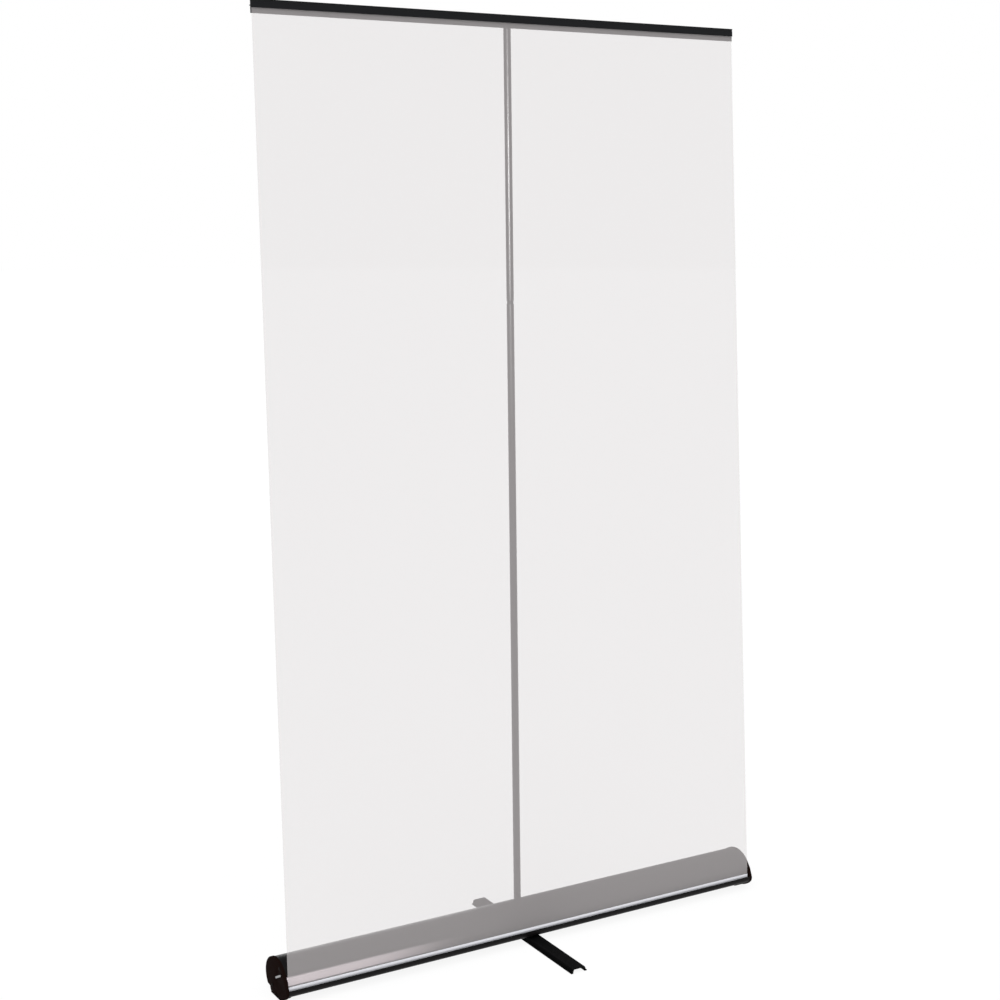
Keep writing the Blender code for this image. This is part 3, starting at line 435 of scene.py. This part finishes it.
def edges_in_plane(bm, x, least_length, least_depth):
    """Outline edges of a plate: in the plane at x, with a deep side face beside them."""
    chosen = []
    for edge in bm.edges:
        if any(abs(vert.co.x - x) > SAME_PLACE for vert in edge.verts):
            continue
        sides = [face for face in edge.link_faces if abs(face.normal.x) < 0.1]
        if len(sides) != 1 or edge.calc_length() < least_length:
            continue
        depth = [vert.co.x for vert in sides[0].verts]
        if max(depth) - min(depth) > least_depth:
            chosen.append(edge)
    return chosen


def round_edges(bm, edges, offset, segments):
    bmesh.ops.bevel(bm, geom=edges, offset=offset, segments=segments, profile=0.5,
                    affect="EDGES", clamp_overlap=True)


def make_end_cap(side, word):
    node = "end_cap_" + word
    low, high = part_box(node)
    outer = high.x if side > 0 else low.x
    bm = clean_mesh(node)
    bm.normal_update()
    edges = edges_in_plane(bm, outer, CAP_EDGE_LEAST, CAP_SIDE_LEAST)
    round_edges(bm, edges, CAP_ROUND, CAP_ROUND_SEGMENTS)
    soften(place_piece(bm, node + "_finished", node), FINE_EDGE)


def make_lock_tab():
    node = "roller_lock_pin"
    bm = clean_mesh(node)
    bm.normal_update()
    low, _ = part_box(node)
    corners = []
    for edge in bm.edges:
        first, second = (vert.co for vert in edge.verts)
        if not TAB_THINNEST <= abs(first.x - second.x) <= TAB_THICKEST:
            continue
        outermost = min(first.x, second.x) < low.x + SAME_PLACE
        if outermost and (first - second).yz.length < SAME_PLACE:
            corners.append(edge)
    round_edges(bm, corners, TAB_ROUND, TAB_ROUND_SEGMENTS)
    soften(place_piece(bm, node + "_finished", node, "tab"), FINE_EDGE)


# ---------------------------------------------------------------- screws
def lathe(bm, profile, segments, matrix):
    """Turn a profile of radius and height pairs about the matrix's Z axis."""
    rings = []
    for radius, height in profile:
        if radius == 0:
            rings.append([bm.verts.new(matrix @ Vector((0, 0, height)))])
            continue
        ring = []
        for k in range(segments):
            turn = 2 * math.pi * k / segments
            point = Vector((radius * math.cos(turn), radius * math.sin(turn), height))
            ring.append(bm.verts.new(matrix @ point))
        rings.append(ring)
    for ring, after in zip(rings, rings[1:]):
        for k in range(segments):
            m = (k + 1) % segments
            if len(ring) == 1:
                bm.faces.new((ring[0], after[k], after[m]))
            elif len(after) == 1:
                bm.faces.new((ring[k], ring[m], after[0]))
            else:
                bm.faces.new((ring[k], ring[m], after[m], after[k]))


def make_screw(node, direction, key="steel"):
    """A cross-head screw in a CAD screw's place; direction points out of its head."""
    low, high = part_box(node)
    outward = Vector(direction)
    centre = (low + high) / 2
    axis = max(range(3), key=lambda k: abs(outward[k]))
    across = (high - low)[(axis + 1) % 3]
    length = (high - low)[axis]
    radius = across / 2
    head = radius * SCREW_HEAD
    shank = radius * SCREW_SHANK
    tip = centre - outward * length / 2
    place = Matrix.Translation(tip) @ outward.to_track_quat("Z", "Y").to_matrix().to_4x4()
    face = length - head
    profile = [(0, 0), (shank * SCREW_TIP, 0), (shank, shank), (shank, face), (radius, face)]
    for k in range(SCREW_DOME_STEPS + 1):
        turn = math.pi / 2 * k / SCREW_DOME_STEPS
        ring = radius * (SCREW_FLAT + (1 - SCREW_FLAT) * math.cos(turn))
        profile.append((ring, face + head * (SCREW_RIM + (1 - SCREW_RIM) * math.sin(turn))))
    profile.append((0, length))
    bm = bmesh.new()
    lathe(bm, profile, SCREW_SIDES, place)
    bmesh.ops.recalc_face_normals(bm, faces=bm.faces)
    screw = place_piece(bm, node + "_finished", node, key)
    slots = bmesh.new()
    for turn in CROSS_TURNS:
        size = Matrix.Diagonal((2 * CROSS_REACH, CROSS_WIDTH, 2 * CROSS_DEPTH, 1))
        lay = place @ Matrix.Translation((0, 0, length)) @ Matrix.Rotation(turn, 4, "Z")
        bmesh.ops.create_cube(slots, size=1.0, matrix=lay @ size)
    mesh = bpy.data.meshes.new(node + "_slots")
    slots.to_mesh(mesh)
    slots.free()
    cutter = bpy.data.objects.new(node + "_slots", mesh)
    bpy.context.collection.objects.link(cutter)
    carve = screw.modifiers.new("cross_slots", "BOOLEAN")
    carve.object = cutter
    carve.solver = "EXACT"
    carve.use_self = True
    apply_modifiers(screw)
    bpy.data.objects.remove(cutter, do_unlink=True)
    screw.data.set_sharp_from_angle(angle=SCREW_SMOOTH_ANGLE)


def apply_modifiers(obj):
    """Make the evaluated shape the object's own mesh."""
    bpy.context.view_layer.update()
    graph = bpy.context.evaluated_depsgraph_get()
    mesh = bpy.data.meshes.new_from_object(obj.evaluated_get(graph), depsgraph=graph)
    obj.modifiers.clear()
    obj.data = mesh


def make_screws():
    for word, side in (("left", -1), ("right", 1)):
        for height in ("upper", "lower"):
            make_screw("cap_screw_" + word + "_" + height, (side, 0, 0), "screw")
        make_screw("socket_screw_" + word, (0, 0, -1))
    for k in range(1, 5):
        make_screw("plate_screw_" + str(k), (0, 0, -1))


# ---------------------------------------------------------------- film
def make_film():
    """The blank film: a flat cut stretched between rail and leader, all but flat."""
    low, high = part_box("banner_film")
    height = (high.z - low.z) / UP.z
    bottom = Vector((0, low.y + abs(BACK.y) * FILM_HALF, low.z))
    half = (high.x - low.x) / 2
    bm = bmesh.new()
    rows = []
    for j in range(FILM_ROWS + 1):
        share = j / FILM_ROWS
        free = math.sin(math.pi * share) ** 0.7
        row = []
        for i in range(FILM_COLUMNS + 1):
            x = -half + 2 * half * i / FILM_COLUMNS
            edge = max(0.0, 1 - (half - abs(x)) / CURL_REACH)
            ripple = math.sin(5.1 * share + 2.3 * x) * math.sin(3.3 * x + 1.2)
            shift = free * (FILM_WAVE * ripple - FILM_CURL * edge ** 2)
            point = bottom + UP * (height * share) - BACK * shift
            row.append(bm.verts.new((x, point.y, point.z)))
        rows.append(row)
    for first, second in zip(rows, rows[1:]):
        for i in range(FILM_COLUMNS):
            bm.faces.new((first[i], first[i + 1], second[i + 1], second[i]))
    film = place_piece(bm, "film_sheet", "banner_film")
    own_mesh(film)


def make_leader():
    """The leader between film and roller, in the CAD sheet's own shape."""
    bm = clean_mesh("leader_sheet")
    surface = sum(face.calc_area() for face in bm.faces)
    leader = place_piece(bm, "leader_sheet_finished", "leader_sheet")


# ---------------------------------------------------------------- studio
def make_floor():
    bm = bmesh.new()
    bmesh.ops.create_circle(bm, cap_ends=True, segments=FLOOR_SEGMENTS, radius=FLOOR_RADIUS)
    mesh = bpy.data.meshes.new("studio_floor")
    bm.to_mesh(mesh)
    bm.free()
    floor = bpy.data.objects.new("studio_floor", mesh)
    bpy.context.collection.objects.link(floor)
    mat, tree, shader = start_material("studio_floor", 0.9, 0.0, 0.1)
    shader.inputs["Emission Color"].default_value = (1.0, 1.0, 1.0, 1.0)
    shader.inputs["Emission Strength"].default_value = FLOOR_GLOW
    cloud = noise(tree, object_point(tree), 2.0, 2.0)
    base = mix_colour(tree, cloud, (0.095, 0.095, 0.095), (0.105, 0.105, 0.105))
    join(tree, shader, Base_Color=base)
    mesh.materials.append(mat)


def aim(obj, target):
    turn = (Vector(target) - obj.location).to_track_quat("-Z", "Y")
    obj.rotation_euler = turn.to_euler()


def add_light(name, kind, place, target, energy, only=(), **settings):
    """A light aimed at target. It lights everything, or only the pieces named in only."""
    data = bpy.data.lights.new(name, kind)
    data.energy = energy
    for key, value in settings.items():
        setattr(data, key, value)
    light = bpy.data.objects.new(name, data)
    light.location = place
    light.visible_camera = False
    bpy.context.collection.objects.link(light)
    aim(light, target)
    if only:
        lit = bpy.data.collections.new(name + "_receivers")
        for piece in only:
            lit.objects.link(bpy.data.objects[piece])
        light.light_linking.receiver_collection = lit


def make_world():
    """White for the camera, softer for what lights and reflects in the pieces."""
    world = bpy.data.worlds.new("studio")
    bpy.context.scene.world = world
    world.use_nodes = True
    tree = world.node_tree
    tree.nodes.clear()
    seen = add_node(tree, "ShaderNodeBackground", Color=(1, 1, 1, 1), Strength=1.0)
    lit = add_node(tree, "ShaderNodeBackground", Color=(0.97, 0.985, 1, 1),
                   Strength=WORLD_STRENGTH)
    path = tree.nodes.new("ShaderNodeLightPath")
    both = tree.nodes.new("ShaderNodeMixShader")
    tree.links.new(path.outputs["Is Camera Ray"], both.inputs[0])
    tree.links.new(lit.outputs[0], both.inputs[1])
    tree.links.new(seen.outputs[0], both.inputs[2])
    out = tree.nodes.new("ShaderNodeOutputWorld")
    tree.links.new(both.outputs[0], out.inputs["Surface"])


def make_lights():
    """One sun for everything, and four lamps that each reach only the pieces named with them."""
    add_light("overhead", "SUN", (-2, -3, 8), (0, 0, 0), SUN_STRENGTH, angle=SUN_SPREAD)
    low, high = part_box("pole_upper")
    pole = (low + high) / 2
    place = pole + (Vector(CAMERA_PLACE) - pole).normalized() * POLE_LIGHT_DISTANCE
    place.z = POLE_LIGHT_HEIGHT
    tubes = [node + "_finished" for node in ("pole_lower", "pole_middle", "pole_upper")]
    add_light("pole_softbox", "AREA", place, (pole.x, pole.y, POLE_LIGHT_AIM), POLE_LIGHT_WATTS,
              tubes, shape="RECTANGLE", size=2.2, size_y=0.4)
    low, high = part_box("guide_strip")
    spot = Vector((low.x + STRIP_LIGHT_INSET, low.y, (low.z + high.z) / 2))
    add_light("strip_spot", "SPOT", spot + STRIP_LIGHT_OFFSET, spot, STRIP_LIGHT_WATTS,
              ["guide_strip_finished"], spot_size=math.radians(30), spot_blend=1.0,
              shadow_soft_size=0.05)
    low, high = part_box("leader_sheet")
    middle = (low + high) / 2
    add_light("leader_fill", "AREA", middle + LEADER_LIGHT_OFFSET, middle, LEADER_LIGHT_WATTS,
              ["leader_sheet_finished"], shape="RECTANGLE", size=2.4, size_y=0.4)
    low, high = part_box("housing_shell")
    crest = Vector((low.x + CREST_LIGHT_INSET, (low.y + high.y) / 2, high.z))
    add_light("crest_softbox", "AREA", crest + CREST_LIGHT_OFFSET, crest, CREST_LIGHT_WATTS,
              ["housing_shell_finished"], shape="RECTANGLE", size=1.0, size_y=0.35)


def make_camera():
    data = bpy.data.cameras.new("camera")
    data.lens = LENS
    data.sensor_width = SENSOR
    data.shift_y = CAMERA_SHIFT_Y
    data.clip_start = 0.05
    data.clip_end = 200.0
    camera = bpy.data.objects.new("camera", data)
    camera.location = CAMERA_PLACE
    camera.rotation_euler = [math.radians(turn) for turn in CAMERA_TURN]
    bpy.context.collection.objects.link(camera)
    bpy.context.scene.camera = camera


# ---------------------------------------------------------------- the whole
def main():
    make_camera()
    make_world()
    make_floor()
    bpy.context.scene.view_settings.view_transform = "Standard"
    for node, width in EDGE_ROUNDINGS.items():
        refine(node, width)
    for node in ("torsion_spring", "elastic_cord"):
        paint(frame["nodes"][node], SLOTS[node])
    make_end_cap(-1, "left")
    make_end_cap(1, "right")
    make_lock_tab()
    make_screws()
    make_film()
    make_leader()
    make_lights()


main()
